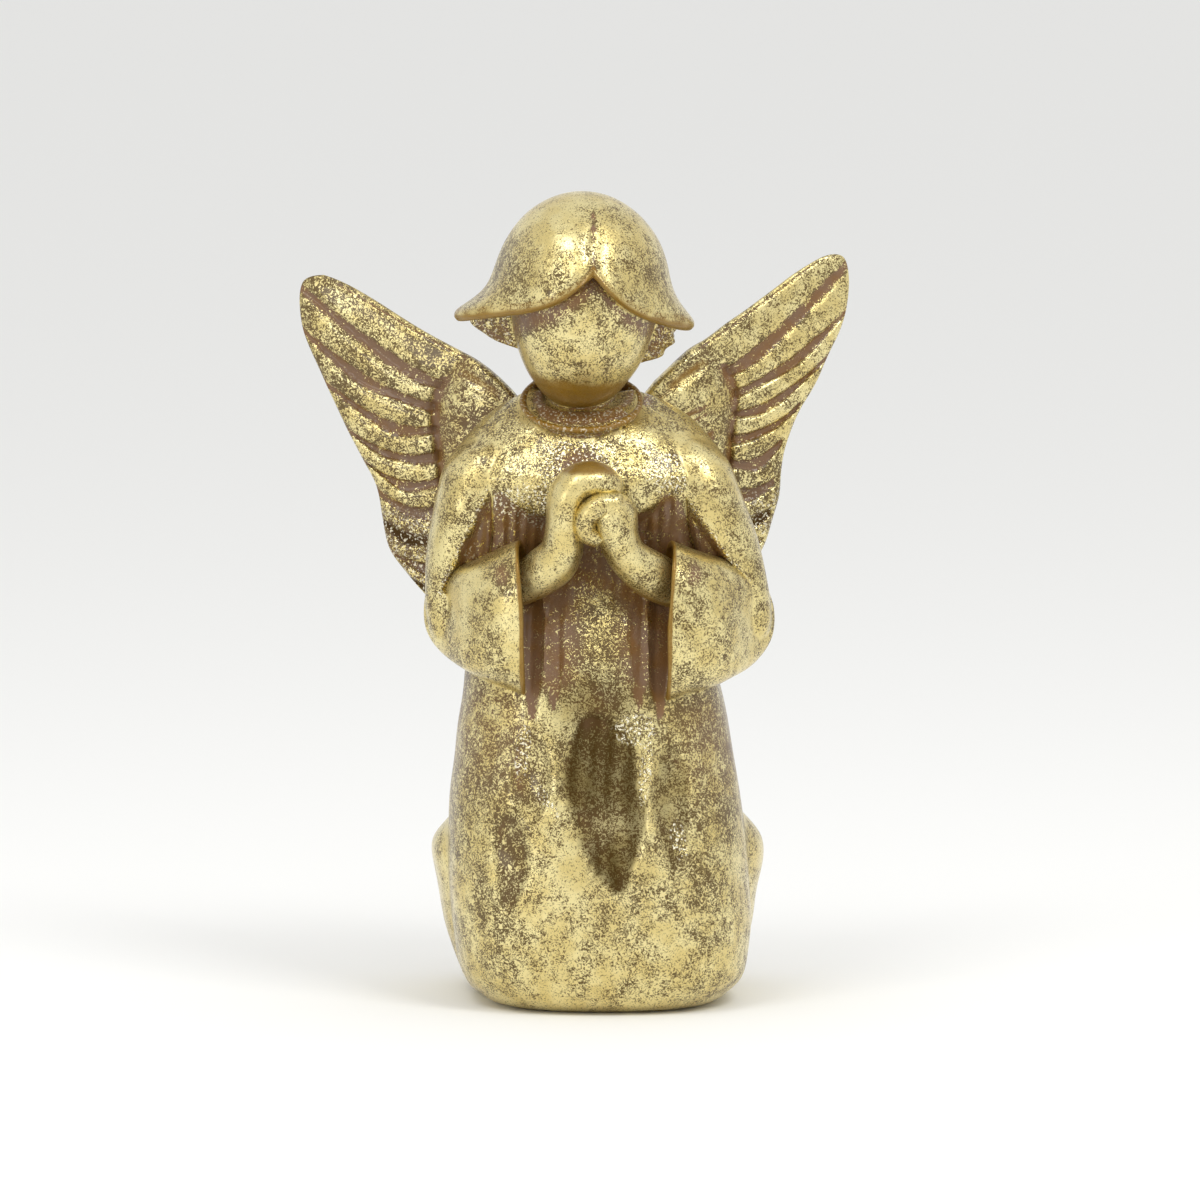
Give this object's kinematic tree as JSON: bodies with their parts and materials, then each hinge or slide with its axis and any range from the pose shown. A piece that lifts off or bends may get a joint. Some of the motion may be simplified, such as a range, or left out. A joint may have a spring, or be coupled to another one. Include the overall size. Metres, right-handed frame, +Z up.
{
  "type": "kneeling angel figurine",
  "caption": "Kneeling robed angel with folded hands, bell sleeves, a blank face, bobbed hair and raised feathered wings, cast in one piece with an antique gold leaf finish.",
  "frame": {"origin": "on the flat underside, below the middle of the robe", "axes": "+Z up; the figure faces -Y; +X to the right of a viewer in front"},
  "size_m": [0.1222, 0.0797, 0.179],
  "materials": {
    "gilding": "antique gold leaf, worn to a red-brown ground in its hollows, under clear amber varnish"
  },
  "bodies": {
    "root": {"angel_figure": "gilding"}
  },
  "joints": []
}
